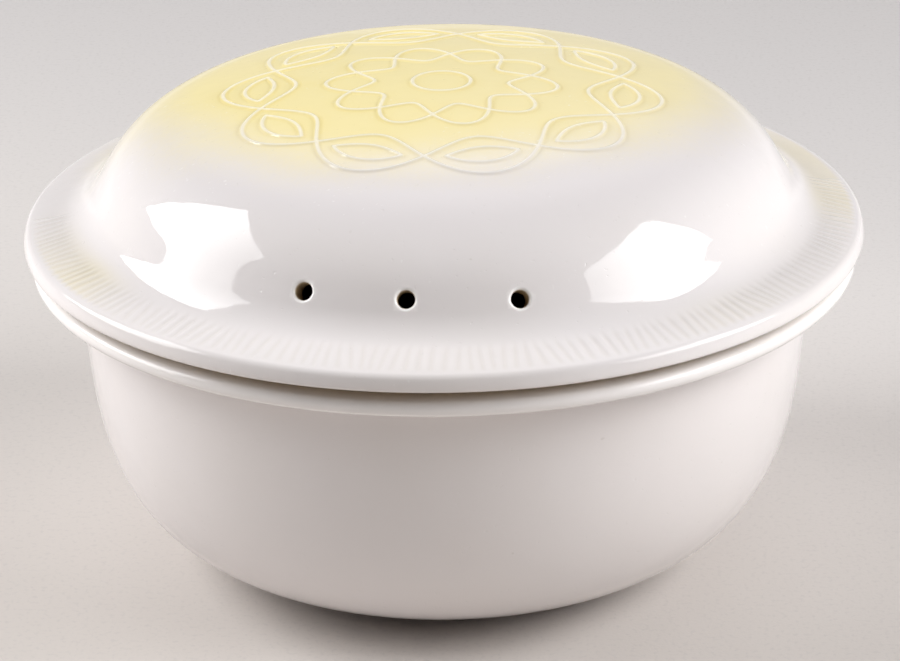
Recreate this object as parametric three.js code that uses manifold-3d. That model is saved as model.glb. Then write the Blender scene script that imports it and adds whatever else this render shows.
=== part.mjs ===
// Individual casserole with lid: a glazed porcelain bowl with a turned-out lip, and a domed lid with a
// wide ribbed brim, three steam holes and a locating ring that drops into the bowl's mouth.
// Millimetres, +Z up. The origin is on the table at the middle of the foot ring, and -Y is the front,
// where the middle steam hole is. Angles round the axis are counted from -Y towards +X.
import * as THREE from "three";
import { mergeVertices } from "three/addons/utils/BufferGeometryUtils.js";
import Module from "manifold-3d";

// Bowl
const BOWL_HEIGHT = 71.8;
const MOUTH_RADIUS = 74;
const MOUTH_ROUND = 1.2;
const WALL = 4;
const WALL_HANDLE = 37.3;
const FOOT_WALL = 4.5;
const FLOOR_DISH = 0.8;
const SEAT_WIDTH = 4.6;
const LIP_REACH = 10.4;
const LIP_THICKNESS = 3.5;
const LIP_DROOP_DEG = 15;
const LIP_FILLET = 2.5;
const FOOT_RADIUS = 41.8;
const FOOT_WIDTH = 5;
const FOOT_HEIGHT = 1.4;
const FOOT_EASE = 0.6;
const BELLY_SLOPE_DEG = 10;
const BELLY_HANDLE = 30.9;

// Fit of the lid on the bowl
const SEAT_CLEARANCE = 0.3;
const RING_CLEARANCE = 0.8;

// Lid
const LID_HEIGHT = 33.2;
const LID_WALL = 3.6;
const BRIM_OVERHANG = 1.6;
const BRIM_SLOPE_DEG = 13;
const BRIM_FILLET = 13;
const RIM_LOW_ROUND = 0.7;
const RIM_FACE_ROUND = 5.5;
const RIM_FACE_DEG = 70;
const RIM_CREST_ROUND = 1.35;
const DOME_OVER_MOUTH = 2.2;
const SHOULDER_RADIUS = 28.2;
const CROWN_RADIUS = 280;
const RING_WALL = 3.2;
const RING_DEPTH = 6.6;
const RING_ROUND = 1;
const RING_FILLET = 0.8;
const RING_BLEND = 8;

// Ribs on the brim
const RIB_COUNT = 117;
const RIB_PITCH_DEG = 1.6;
const RIB_FIRST_DEG = -83.2;
const RIB_EDGE_MARGIN = 2.2;
const RIB_REACH = 7.8;
const RIB_WIDTH = 2.1;
const RIB_HEIGHT = 0.3;

// Steam holes
const HOLE_COUNT = 3;
const HOLE_PITCH_DEG = 17.3;
const HOLE_DIAMETER = 3.6;
const HOLE_EASE = 0.7;
const HOLE_SLOPE_DEG = 63;

// Facets
const CHORD_TOLERANCE = 0.1;
const TURN_FACETS = 60;
const BELLY_STEPS = 8;
const FLOOR_STEPS = 2;
const RIB_END_STEPS = 1;
const RIB_FACETS = 4;
const HOLE_FACETS = 20;

const rad = THREE.MathUtils.degToRad;
const deg = THREE.MathUtils.radToDeg;
const at = (r, z) => new THREE.Vector2(r, z);

const wallRadius = MOUTH_RADIUS + WALL;
const lipRadius = wallRadius + LIP_REACH;
const lidRadius = lipRadius + BRIM_OVERHANG;
const underside = BOWL_HEIGHT + SEAT_CLEARANCE;

const wasm = await Module();
wasm.setup();

// Direction in the profile plane that faces out of a surface falling outwards at this slope.
function facing(slopeDeg) {
  return at(Math.sin(rad(slopeDeg)), Math.cos(rad(slopeDeg)));
}

// Direction in the profile plane that runs down such a surface, away from the axis.
function downhill(slopeDeg) {
  return at(Math.cos(rad(slopeDeg)), -Math.sin(rad(slopeDeg)));
}

function along(start, direction, distance) {
  return start.clone().addScaledVector(direction, distance);
}

// Profile points on an arc, both ends included, as many as keep its chords within the tolerance.
// Angles are counted from the outward direction.
function arc(centre, radius, fromDeg, toDeg) {
  const stepDeg = deg(2 * Math.acos(1 - CHORD_TOLERANCE / radius));
  const steps = Math.ceil(Math.abs(toDeg - fromDeg) / stepDeg);
  const points = [];
  for (let i = 0; i <= steps; i += 1) {
    const angle = rad(THREE.MathUtils.lerp(fromDeg, toDeg, i / steps));
    points.push(at(centre.x + radius * Math.cos(angle), centre.y + radius * Math.sin(angle)));
  }
  return points;
}

// Closed solid of revolution about +Z from a profile that starts and ends on the axis.
function turned(profile, facets) {
  const geometry = new THREE.LatheGeometry(profile, facets);
  geometry.rotateX(Math.PI / 2);
  return geometry;
}

function toSolid(geometry) {
  const bare = geometry.clone();
  bare.deleteAttribute("normal");
  bare.deleteAttribute("uv");
  const merged = mergeVertices(bare);
  const corners = merged.index.array;
  const triangles = [];
  for (let i = 0; i < corners.length; i += 3) {
    const [a, b, c] = [corners[i], corners[i + 1], corners[i + 2]];
    if (a !== b && b !== c && c !== a) {
      triangles.push(a, b, c);
    }
  }
  const vertProperties = new Float32Array(merged.attributes.position.array);
  const triVerts = new Uint32Array(triangles);
  return new wasm.Manifold(new wasm.Mesh({ numProp: 3, vertProperties, triVerts }));
}

function toGeometry(solid) {
  const mesh = solid.getMesh();
  const geometry = new THREE.BufferGeometry();
  geometry.setAttribute("position", new THREE.BufferAttribute(mesh.vertProperties, 3));
  geometry.setIndex(new THREE.BufferAttribute(mesh.triVerts, 1));
  geometry.computeVertexNormals();
  return geometry;
}

// The bowl's belly is one curve from the foot to the lip, and its inside is that curve set in by the wall.
function bowlProfile() {
  const droop = facing(LIP_DROOP_DEG);
  const lipDown = downhill(LIP_DROOP_DEG);
  const half = LIP_THICKNESS / 2;
  const seatEdge = at(MOUTH_RADIUS + SEAT_WIDTH, BOWL_HEIGHT);
  const lipCentreRadius = lipRadius - half;
  const lipMid = along(seatEdge, droop, -half);
  const lipCentre = along(lipMid, lipDown, (lipCentreRadius - lipMid.x) / lipDown.x);
  const lipUnder = along(lipCentre, droop, -half);
  const filletRadius = wallRadius + LIP_FILLET;
  const filletMid = along(lipUnder, droop, -LIP_FILLET);
  const lipFillet = along(filletMid, lipDown, (filletRadius - filletMid.x) / lipDown.x);

  const footTop = at(FOOT_RADIUS, FOOT_HEIGHT);
  const wallTop = at(wallRadius, lipFillet.y);
  const bellyOut = at(Math.cos(rad(BELLY_SLOPE_DEG)), Math.sin(rad(BELLY_SLOPE_DEG)));
  const belly = new THREE.CubicBezierCurve(
    footTop,
    along(footTop, bellyOut, BELLY_HANDLE),
    at(wallRadius, wallTop.y - WALL_HANDLE),
    wallTop,
  );
  const outside = belly.getPoints(BELLY_STEPS);
  const inside = outside.map((point, i) => {
    const tangent = belly.getTangent(i / BELLY_STEPS);
    const wall = THREE.MathUtils.lerp(FOOT_WALL, WALL, i / BELLY_STEPS);
    return along(point, at(-tangent.y, tangent.x), wall);
  });
  const dishReach = FLOOR_DISH / Math.tan(rad(BELLY_SLOPE_DEG));
  const floorEdge = at(inside[0].x - dishReach, inside[0].y - FLOOR_DISH);
  const floorFlat = at(floorEdge.x - dishReach, floorEdge.y);
  const floor = new THREE.QuadraticBezierCurve(inside[0], floorEdge, floorFlat);

  const footInner = FOOT_RADIUS - FOOT_WIDTH;
  const mouthCorner = at(MOUTH_RADIUS + MOUTH_ROUND, BOWL_HEIGHT - MOUTH_ROUND);
  return [
    at(0, FOOT_HEIGHT),
    at(footInner - FOOT_EASE, FOOT_HEIGHT),
    at(footInner + FOOT_EASE, 0),
    at(FOOT_RADIUS - FOOT_EASE, 0),
    at(FOOT_RADIUS, FOOT_EASE),
    ...outside,
    ...arc(lipFillet, LIP_FILLET, 180, 90 - LIP_DROOP_DEG).slice(1),
    ...arc(lipCentre, half, -90 - LIP_DROOP_DEG, 90 - LIP_DROOP_DEG),
    seatEdge,
    ...arc(mouthCorner, MOUTH_ROUND, 90, 180),
    ...inside.reverse(),
    ...floor.getPoints(FLOOR_STEPS).slice(1),
    at(0, floorEdge.y),
  ];
}

// Circles of the lid's profile that several features are set out from.
const lidTop = underside + LID_HEIGHT;
const shoulderCentreRadius = MOUTH_RADIUS + DOME_OVER_MOUTH - SHOULDER_RADIUS;
const crownDrop = Math.sqrt((CROWN_RADIUS - SHOULDER_RADIUS) ** 2 - shoulderCentreRadius ** 2);
const crownCentre = at(0, lidTop - CROWN_RADIUS);
const shoulderCentre = at(shoulderCentreRadius, crownCentre.y + crownDrop);
const kneeDeg = deg(Math.atan2(crownDrop, shoulderCentreRadius));
const brimFacing = facing(BRIM_SLOPE_DEG);
const brimDown = downhill(BRIM_SLOPE_DEG);
const rimLow = at(lidRadius - RIM_LOW_ROUND, underside + RIM_LOW_ROUND);
const rimFace = at(lidRadius - RIM_FACE_ROUND, rimLow.y);
const rimCrest = along(rimFace, facing(RIM_FACE_DEG), RIM_FACE_ROUND - RIM_CREST_ROUND);
const brimEdge = along(rimCrest, brimFacing, RIM_CREST_ROUND);

// Point on the straight part of the brim at a given radius.
function onBrim(radius) {
  return along(brimEdge, brimDown, (radius - brimEdge.x) / brimDown.x);
}

// Centre of the fillet that touches the brim and the shoulder.
function brimFilletCentre() {
  const lifted = along(brimEdge, brimFacing, BRIM_FILLET);
  const fromShoulder = lifted.clone().sub(shoulderCentre);
  const across = fromShoulder.dot(brimDown);
  const reach = SHOULDER_RADIUS + BRIM_FILLET;
  const inward = across - Math.sqrt(across ** 2 - fromShoulder.lengthSq() + reach ** 2);
  return along(lifted, brimDown, -inward);
}

function lidProfile() {
  const ringRadius = MOUTH_RADIUS - RING_CLEARANCE;
  const ringInner = ringRadius - RING_WALL;
  const ringBottom = underside - RING_DEPTH;

  const shoulderInner = SHOULDER_RADIUS - LID_WALL;
  const blendRadius = ringInner - RING_BLEND;
  const blendOffset = blendRadius - shoulderCentre.x;
  const blendRise = Math.sqrt((shoulderInner - RING_BLEND) ** 2 - blendOffset ** 2);
  const blendCentre = at(blendRadius, shoulderCentre.y + blendRise);
  const blendDeg = deg(Math.atan2(blendRise, blendOffset));

  const filletCentre = brimFilletCentre();
  const toFillet = filletCentre.clone().sub(shoulderCentre);
  const filletDeg = deg(Math.atan2(toFillet.y, toFillet.x));
  const brimDeg = 90 - BRIM_SLOPE_DEG;
  const rimDeg = 90 - RIM_FACE_DEG;

  return [
    ...arc(crownCentre, CROWN_RADIUS - LID_WALL, 90, kneeDeg),
    ...arc(shoulderCentre, shoulderInner, kneeDeg, blendDeg).slice(1),
    ...arc(blendCentre, RING_BLEND, blendDeg, 0).slice(1),
    ...arc(at(ringInner + RING_ROUND, ringBottom + RING_ROUND), RING_ROUND, 180, 270),
    ...arc(at(ringRadius - RING_ROUND, ringBottom + RING_ROUND), RING_ROUND, 270, 360),
    ...arc(at(ringRadius + RING_FILLET, underside - RING_FILLET), RING_FILLET, 180, 90),
    ...arc(rimLow, RIM_LOW_ROUND, -90, 0),
    ...arc(rimFace, RIM_FACE_ROUND, 0, rimDeg).slice(1),
    ...arc(rimCrest, RIM_CREST_ROUND, rimDeg, brimDeg).slice(1),
    ...arc(filletCentre, BRIM_FILLET, 180 + brimDeg, 180 + filletDeg),
    ...arc(shoulderCentre, SHOULDER_RADIUS, filletDeg, kneeDeg).slice(1),
    ...arc(crownCentre, CROWN_RADIUS, kneeDeg, 90).slice(1),
  ];
}

// Frame on the lid at one angle round the axis: x runs round, y faces out and z runs downhill.
function placed(geometry, profilePoint, slopeDeg, angleDeg) {
  const angle = rad(angleDeg);
  const round = new THREE.Vector3(Math.cos(angle), Math.sin(angle), 0);
  const radial = new THREE.Vector3(Math.sin(angle), -Math.cos(angle), 0);
  const lift = (direction) => radial.clone().multiplyScalar(direction.x).setZ(direction.y);
  const matrix = new THREE.Matrix4().makeBasis(round, lift(facing(slopeDeg)), lift(downhill(slopeDeg)));
  matrix.setPosition(lift(profilePoint));
  return geometry.clone().applyMatrix4(matrix);
}

// One rib: a low ridge with tapered ends, half sunk into the brim and running out in the fillet.
function ribGeometry() {
  const radius = RIB_WIDTH / 2;
  const length = RIB_REACH / Math.cos(rad(BRIM_SLOPE_DEG));
  const geometry = new THREE.CapsuleGeometry(radius, length - RIB_WIDTH, RIB_END_STEPS, RIB_FACETS);
  geometry.rotateX(Math.PI / 2);
  geometry.scale(1, RIB_HEIGHT / radius, 1);
  geometry.translate(0, 0, length / 2);
  return geometry;
}

// Cutter for one steam hole, flared where it leaves the dome so that the edge is eased.
function holeCutter() {
  const radius = HOLE_DIAMETER / 2;
  const depth = 2 * LID_WALL;
  const profile = [
    at(0, -depth),
    at(radius, -depth),
    at(radius, -HOLE_EASE),
    at(radius + 2 * HOLE_EASE, HOLE_EASE),
    at(0, HOLE_EASE),
  ];
  return new THREE.LatheGeometry(profile, HOLE_FACETS);
}

function lidGeometry() {
  const rib = ribGeometry();
  const ribStart = onBrim(lidRadius - RIB_EDGE_MARGIN - RIB_REACH);
  const pieces = [toSolid(turned(lidProfile(), TURN_FACETS))];
  for (let i = 0; i < RIB_COUNT; i += 1) {
    const angleDeg = RIB_FIRST_DEG + i * RIB_PITCH_DEG;
    pieces.push(toSolid(placed(rib, ribStart, BRIM_SLOPE_DEG, angleDeg)));
  }
  let lid = wasm.Manifold.union(pieces);

  const cutter = holeCutter();
  const holePoint = along(shoulderCentre, facing(HOLE_SLOPE_DEG), SHOULDER_RADIUS);
  for (let i = 0; i < HOLE_COUNT; i += 1) {
    const angleDeg = (i - (HOLE_COUNT - 1) / 2) * HOLE_PITCH_DEG;
    lid = lid.subtract(toSolid(placed(cutter, holePoint, HOLE_SLOPE_DEG, angleDeg)));
  }
  return toGeometry(lid);
}

function glaze(color) {
  return new THREE.MeshStandardMaterial({ color, roughness: 0.12, metalness: 0 });
}

const casserole = new THREE.Group();

const bowl = new THREE.Mesh(toGeometry(toSolid(turned(bowlProfile(), TURN_FACETS))), glaze(0xefebe8));
bowl.name = "bowl";
casserole.add(bowl);

const lid = new THREE.Mesh(lidGeometry(), glaze(0xf1ebdd));
lid.name = "lid";
casserole.add(lid);

export default casserole;
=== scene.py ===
"""Individual casserole with lid: fine glazed surfaces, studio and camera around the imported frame.

Metres, +Z up. The origin is on the table under the middle of the foot, and -Y is the front, where the
middle steam hole is. Angles round the axis are counted from -Y towards +X.
"""
import math

import bmesh
import bpy
import numpy as np
from mathutils import Matrix, Vector, geometry, kdtree


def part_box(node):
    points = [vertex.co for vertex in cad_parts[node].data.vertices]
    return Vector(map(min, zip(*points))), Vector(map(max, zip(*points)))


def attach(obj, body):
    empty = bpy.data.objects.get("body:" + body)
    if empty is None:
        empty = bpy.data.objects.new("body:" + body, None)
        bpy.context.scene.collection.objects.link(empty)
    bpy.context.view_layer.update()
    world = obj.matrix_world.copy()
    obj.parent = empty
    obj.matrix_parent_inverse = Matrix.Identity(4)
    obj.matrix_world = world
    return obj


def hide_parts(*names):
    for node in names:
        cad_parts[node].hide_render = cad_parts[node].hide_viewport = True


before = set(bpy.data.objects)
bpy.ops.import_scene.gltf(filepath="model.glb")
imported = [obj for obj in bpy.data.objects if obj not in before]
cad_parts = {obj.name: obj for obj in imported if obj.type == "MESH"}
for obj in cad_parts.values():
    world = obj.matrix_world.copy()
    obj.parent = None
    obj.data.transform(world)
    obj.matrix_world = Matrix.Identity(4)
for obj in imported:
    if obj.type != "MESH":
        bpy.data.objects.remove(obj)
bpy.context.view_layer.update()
bowl_low, bowl_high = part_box("bowl")
lid_low, lid_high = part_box("lid")

# Limits under which two places are one, a place is on the axis, and corners of the crown's net are one
SAME_PLACE = 1e-7
ON_AXIS = 1e-6
NET_WELD = 1e-6

# An arc has at least this many steps
FEWEST_ARC_STEPS = 3

# Edges sharper than this stay sharp
SHARP_DEG = 50

# Bowl
BOWL_HEIGHT = bowl_high.z
MOUTH_RADIUS = 0.074
MOUTH_ROUND = 0.0012
WALL = 0.004
WALL_HANDLE = 0.0373
FOOT_WALL = 0.0045
FLOOR_DISH = 0.0008
SEAT_WIDTH = 0.0046
SEAT_ROUND = 0.004
LIP_REACH = 0.0104
LIP_THICKNESS = 0.0035
LIP_DROOP_DEG = 16
LIP_FILLET = 0.0025
FOOT_RADIUS = 0.0418
FOOT_WIDTH = 0.005
FOOT_HEIGHT = 0.0014
FOOT_EASE = 0.0006
BELLY_SLOPE_DEG = 10
BELLY_HANDLE = 0.0309
BOWL_STEP = 0.002
FLOOR_COARSENESS = 4
BOWL_TURN = 288

# Lid
LID_TOP = lid_high.z
LID_RADIUS = lid_high.x
SEAT_CLEARANCE = 0.0003
RING_CLEARANCE = 0.0008
LID_WALL = 0.0036
BRIM_SLOPE_DEG = 13
CONE_SLOPE_DEG = 60
BRIM_FILLET = 0.012
RIM_LOW_ROUND = 0.0007
RIM_FACE_ROUND = 0.0055
RIM_FACE_DEG = 69
RIM_CREST_ROUND = 0.0018
DOME_OVER_MOUTH = 0.0022
SHOULDER_RADIUS = 0.0282
CROWN_RADIUS = 0.28
RING_BOTTOM = lid_low.z
RING_WALL = 0.0032
RING_ROUND = 0.001
RING_FILLET = 0.0008
RING_BLEND = 0.008

# Ribs on the brim: the outer ends of the ribbed stretch reach a little further round than the inner ends
RIB_PITCH_DEG = 1.6
RIB_FIRST_DEG = -83.2
RIB_MIDDLE_DEG = 11
RIB_SPAN_INNER_DEG = 93
RIB_SPAN_OUTER_DEG = 95
RIB_EDGE_MARGIN = 0.0017
RIB_REACH = 0.0089
RIB_FADE_IN = 0.0028
RIB_FADE_OUT = 0.0011
RIB_HEIGHT = 0.00015
RIB_STEPS = 8
GROOVE_SHARPNESS = 1.8
RIB_ROWS = 14

# Hand-made unevenness of the ribs, as (waves round the axis, swing, phase)
RIB_WANDER = ((7, 0.0030, 1.0), (17, 0.0026, 2.3), (31, 0.0022, 0.7), (53, 0.0014, 4.1))
RIB_SLANT = ((11, 0.10, 0.5), (23, 0.09, 1.9), (41, 0.08, 3.3))
RIB_DEPTH = ((13, 0.18, 2.0), (29, 0.16, 0.4), (47, 0.12, 5.2))

# Stretches where yellow glaze lies thin over the brim, as (middle and spread in degrees, strength)
BRIM_TINTS = ((-57, 7, 0.42), (-68, 9, 0.2), (49, 9, 0.1), (96, 8, 0.34), (117, 16, 0.36))
BRIM_TINT_FADE = 0.0028
RIB_TINT_BACK = 0.4
# Share by which the grooves between the ribs are darkened: painted shade
RIB_PAINTED_SHADE = 0.25

# Steam holes, each as (angle round the axis in degrees, way down the cone)
HOLES = ((-17.0, 0.0016), (-0.4, 0.0016), (17.4, 0.0023))
HOLE_DIAMETER = 0.0036
HOLE_EASE = 0.0008
HOLE_EASE_STEPS = 6
HOLE_TURN = 48

# Painted highlight, a white ring round each hole: where it begins and ends, in shares of the eased edge
HOLE_HIGHLIGHT_IN = (-0.1, 0.15)
HOLE_HIGHLIGHT_OUT = (0.6, 1.0)

# Bare seat: the glaze is wiped off where the lid rests on the bowl
# The bare clay is dark brown and reaches onto the lip's top under the brim: painted shade in the gap
BARE_AND_SHADED_LIP_EDGE = 0.0863
BARE_BRIM_EDGE = 0.0888
BARE_SOFTNESS = 0.0008

# Facets of the lid: steps round the axis nest into the ribbed band's
PITCHES_ROUND = round(360 / RIB_PITCH_DEG)
LID_TURN = 2 * PITCHES_ROUND
INNER_TURN = PITCHES_ROUND
RIB_TURN = RIB_STEPS * PITCHES_ROUND
LID_STEP = 0.0009
EDGE_STEP = 0.0003
INNER_STEP = 0.0025

# Raised line ornament on the crown: two plaits of waving lines as (middle, swing, waves), lens shapes in
# the outer one, and a middle ring
PLAITS = ((0.039, 0.0078, 5), (0.0195, 0.0052, 5))
LENS_LENGTH = 0.0155
LENS_WIDTH = 0.0062
MIDDLE_RING = 0.0062
LINE_HALF_WIDTH = 0.0009
LINE_HEIGHT = 0.00042
LINE_ROWS = (0, 0.00022, 0.00045, 0.0007, 0.00095, 0.0016)
LINE_STEP = 0.0005
LINE_SAMPLE = 0.0001
LINE_GAP = 0.00016
LINE_POOL = 0.0022
CROWN_GRID = 0.0022

# Yellow spray on the crown, off the middle and soft at its edge
SPRAY_CENTRE = (-0.0054, 0.0242)
SPRAY_RADIUS = 0.065
SPRAY_SOFTNESS = 0.0145

# The spray thins towards the right: places along X, and the share of its strength there
SPRAY_THINNING = (-0.03, 0.05, 1.0, 0.86)

# Unevenness of the spray's edge: size of the noise, its detail and roughness, and how far it moves the edge
SPRAY_DRIFT = {"size": 0.03, "detail": 3}
SPRAY_DRIFT_REACH = 0.012
SPRAY_MIST = {"size": 0.0012, "detail": 3, "roughness": 0.7}
SPRAY_MIST_REACH = 0.006

# Glaze gathered at the foot of the raised lines, and thin on their backs
POOL_NOISE = {"size": 0.012, "detail": 2}
POOL_RANGE = (0.3, 0.7, 0.3, 0.8)
LINE_BACK_RANGE = (0.35, 0.85)

# Glaze: slow change of tone, sparse specks, ripple, pinholes and gloss. Each range maps noise to a share
TONE_NOISE = {"size": 0.045, "detail": 2}
TONE_RANGE = (0.35, 0.7, 0.0, 0.35)
SPECK_NOISE = {"size": 0.0016, "detail": 1}
SPECK_RANGE = (0.79, 0.83, 0.0, 0.35)
RIPPLE_NOISE = {"size": 0.011, "detail": 2}
RIPPLE_DEPTH = 0.00012
PINHOLE_NOISE = {"size": 0.0011, "detail": 1}
PINHOLE_RANGE = (0.72, 0.8)
PINHOLE_DEPTH = 0.00003
GLOSS_NOISE = {"size": 0.02, "detail": 4}
GLOSS_RANGE = (0.3, 0.75, 0.035, 0.075)

# Bare clay
CLAY_NOISE = {"size": 0.0006, "detail": 4}
CLAY_ROUGHNESS = 0.8
FOOT_BARE_RANGE = (0.0002, 0.0005, 1.0, 0.0)

# Radii between which the shoulder is darkened as painted shade: where that begins, is full, and ends
SHOULDER_SHADE_IN = (0.04, 0.05)
SHOULDER_SHADE_OUT = (0.0705, 0.059)

# Faint pale scuffs on the lid, in patches
SCUFF_NOISE = {"size": 0.0009, "detail": 1}
SCUFF_STRETCH = (1, 1, 0.3)
SCUFF_RANGE = (0.7, 0.78, 0, 0.4)
SCUFF_PATCH_NOISE = {"size": 0.016, "detail": 1}
SCUFF_PATCH_RANGE = (0.5, 0.62)

# Radii between which the bowl's lip is lightened as painted light, and how much lighter it gets there
LIP_PAINTED_LIGHT_IN = (0.0785, 0.0815)
LIP_PAINTED_LIGHT_SHARE = 0.5

# Camera and studio
CAMERA_AZIMUTH_DEG = 5.6
CAMERA_ELEVATION_DEG = 22.63
CAMERA_ROLL_DEG = -0.882
CAMERA_DISTANCE = 0.9
CAMERA_LENS_MM = 165.5
CAMERA_SENSOR_MM = 36
CAMERA_AIM_RIGHT = 0.001
CAMERA_AIM_HEIGHT = 0.048
FLOOR_SIZE = 12
FLOOR_ROUGHNESS = 0.85
FLOOR_SPECK_NOISE = {"size": 0.0012, "detail": 2}
FLOOR_SPECK_RANGE = (0.5, 0.75, 0.0, 0.35)
FLOOR_GRAIN_NOISE = {"size": 0.0007, "detail": 3}
FLOOR_GRAIN_DEPTH = 0.00003
# The floor turns warmer towards the front left: painted warm light
FLOOR_PAINTED_LIGHT_TOWARDS = (-0.35, -0.94, 0)
FLOOR_PAINTED_LIGHT_REACH = (-0.35, 0.15)

# Distances over which the floor runs out into an even backdrop, and how the backdrop that gloss mirrors
# fades upwards: sines of its elevations, and the shares there
BACKDROP_REACH = (0.45, 0.9)
BACKDROP_RISE = (-0.1, 0.4, 0.8, 0.0)

# Softboxes: direction from the lid, direction and roll of their backs, size, power, and whether the glaze
# doesn't mirror them. Azimuths are counted from the camera.
SOFTBOX_AIM_HEIGHT = 0.06
SOFTBOX_DISTANCE = 0.95
SOFTBOXES = {
    "softbox_left": {
        "towards": (-91.4, 35.0),
        "facing": (-116, 3, -4.4),
        "size": (0.703, 0.635),
        "power": 11.2,
        "dull": False,
    },
    "softbox_right": {
        "towards": (67.4, 32.3),
        "facing": (98, 3, -0.5),
        "size": (0.774, 0.503),
        "power": 12.5,
        "dull": False,
    },
    "fill_back": {
        "towards": (180, 20),
        "facing": (180, 10, 0),
        "size": (2.4, 0.8),
        "power": 5.0,
        "dull": True,
    },
}

# The softboxes glow less towards their front ends: places along Y, and the strengths there
SOFTBOX_ENDS = (-0.55, 0.2)
SOFTBOX_STRENGTHS = (0.5, 1.4)

# Faint light from all round
WORLD_COLOR = (1.0, 0.83, 0.72)
WORLD_STRENGTH = 0.03

# Colours
GLAZE_SPECULAR = 0.32
WHITE_GLAZE = (0.835, 0.798, 0.8)
WHITE_GLAZE_THIN = (0.8, 0.755, 0.73)
# Painted shade on the lid's shoulder
SHOULDER_PAINTED_SHADE = (0.75, 0.712, 0.716)
# Bright white: colour of the scuffs, the painted light on the bowl's lip and the painted highlight round
# the holes
WHITE_SCUFF_AND_PAINTED_LIGHT = (0.97, 0.95, 0.94)
# Painted shade in the grooves between the ribs
GROOVE_PAINTED_SHADE = (0.68, 0.63, 0.58)
YELLOW_GLAZE = (0.88, 0.772, 0.413)
YELLOW_GLAZE_POOLED = (0.85, 0.72, 0.32)
CREAM_LINE = (0.9, 0.835, 0.64)
BISCUIT = (0.62, 0.58, 0.54)
# Bare clay of the seat, darkened and warmed as painted shade in the gap between lid and bowl
SEAT_CLAY_AND_PAINTED_SHADE = (0.36, 0.27, 0.15)
SEAT_CLAY_AND_PAINTED_SHADE_PALE = (0.52, 0.41, 0.27)
FLOOR_PALE = (0.64, 0.615, 0.612)
FLOOR_PAINTED_WARM_LIGHT = (0.655, 0.612, 0.578)
FLOOR_SPECK = (0.53, 0.505, 0.495)
BACKDROP = (0.68, 0.655, 0.645)


# Profile plane: points are (radius, height)
def at(radius, height):
    return np.array([radius, height])


def facing(slope_deg):
    """Direction out of a surface that falls outwards at this slope."""
    return at(math.sin(math.radians(slope_deg)), math.cos(math.radians(slope_deg)))


def downhill(slope_deg):
    """Direction down such a surface, away from the axis."""
    return at(math.cos(math.radians(slope_deg)), -math.sin(math.radians(slope_deg)))


def level_with(start, direction, radius):
    """Point at this radius on the line through start."""
    return start + direction * (radius - start[0]) / direction[0]


def line(start, end, step):
    count = max(1, math.ceil(np.linalg.norm(end - start) / step))
    return start + (end - start) * np.linspace(0, 1, count + 1)[:, None]


def arc(centre, radius, from_deg, to_deg, step):
    """Points on an arc, both ends included. Angles are counted from the outward direction."""
    count = max(FEWEST_ARC_STEPS, math.ceil(radius * abs(math.radians(to_deg - from_deg)) / step))
    angles = np.radians(np.linspace(from_deg, to_deg, count + 1))
    return centre + radius * np.column_stack([np.cos(angles), np.sin(angles)])


def bezier(controls, count):
    """Points and directions of travel along a Bezier curve."""
    t = np.linspace(0, 1, count + 1)[:, None]
    degree = len(controls) - 1

    def blend(points):
        n = len(points) - 1
        return sum(math.comb(n, i) * t**i * (1 - t) ** (n - i) * p for i, p in enumerate(points))

    travel = blend([degree * (b - a) for a, b in zip(controls, controls[1:])])
    return blend(controls), travel / np.linalg.norm(travel, axis=1)[:, None]


def joined(*stretches):
    """One profile from several stretches, without the points that repeat where they meet."""
    points = np.vstack(stretches)
    repeats = np.linalg.norm(np.diff(points, axis=0), axis=1) < SAME_PLACE
    return np.vstack([points[:1], points[1:][~repeats]])


class Skin:
    """Vertices and faces of a closed turned surface, built up ring by ring."""

    def __init__(self):
        self.vertices = []
        self.faces = []

    def add(self, points):
        start = len(self.vertices)
        self.vertices.extend(tuple(map(float, p)) for p in points)
        return list(range(start, len(self.vertices)))

    def ring(self, radius, height, count, rise=None, out=None):
        """Ring of vertices, lifted by rise(radius, angle) along out, a direction in the profile plane."""
        angles = ring_angles(count)
        radii = np.full(count, radius)
        heights = np.full(count, height)
        if rise is not None:
            lift = rise(radii, angles)
            radii = radii + lift * out[0]
            heights = heights + lift * out[1]
        return self.add(np.column_stack([radii * np.sin(angles), -radii * np.cos(angles), heights]))

    def bridge(self, near, far):
        """Faces between two rings, where the longer one's count is a multiple of the shorter one's."""
        short, long = (near, far) if len(near) <= len(far) else (far, near)
        share = len(long) // len(short)
        for i, corner in enumerate(short):
            following = short[(i + 1) % len(short)]
            run = [long[(i * share + j) % len(long)] for j in range(share + 1)]
            if share == 1:
                self.faces.append((corner, following, run[1], run[0]))
                continue
            half = share // 2
            self.faces.extend((corner, run[j + 1], run[j]) for j in range(half))
            self.faces.append((corner, following, run[half]))
            self.faces.extend((following, run[j + 1], run[j]) for j in range(half, share))

    def cap(self, ring, height):
        """Closes a ring with a fan to a point on the axis."""
        (pole,) = self.add([(0, 0, height)])
        for i, corner in enumerate(ring):
            self.faces.append((pole, corner, ring[(i + 1) % len(ring)]))

    def turn(self, profile, count, start=None):
        """Rings along a profile, joined to a first ring or closed on the axis at either end."""
        ring = start
        for radius, height in profile:
            if radius < ON_AXIS:
                if ring is not None:
                    self.cap(ring, height)
                    return None
                pole = height
                continue
            following = self.ring(radius, height, count)
            if ring is not None:
                self.bridge(ring, following)
            elif start is None:
                self.cap(following, pole)
            ring = following
        return ring

    def object(self, name):
        mesh = bpy.data.meshes.new(name)
        mesh.from_pydata(self.vertices, [], self.faces)
        edit = bmesh.new()
        edit.from_mesh(mesh)
        bmesh.ops.recalc_face_normals(edit, faces=edit.faces)
        edit.to_mesh(mesh)
        edit.free()
        made = bpy.data.objects.new(name, mesh)
        bpy.context.scene.collection.objects.link(made)
        return made


def ring_angles(count):
    return math.radians(RIB_FIRST_DEG) + np.arange(count) * 2 * math.pi / count


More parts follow.
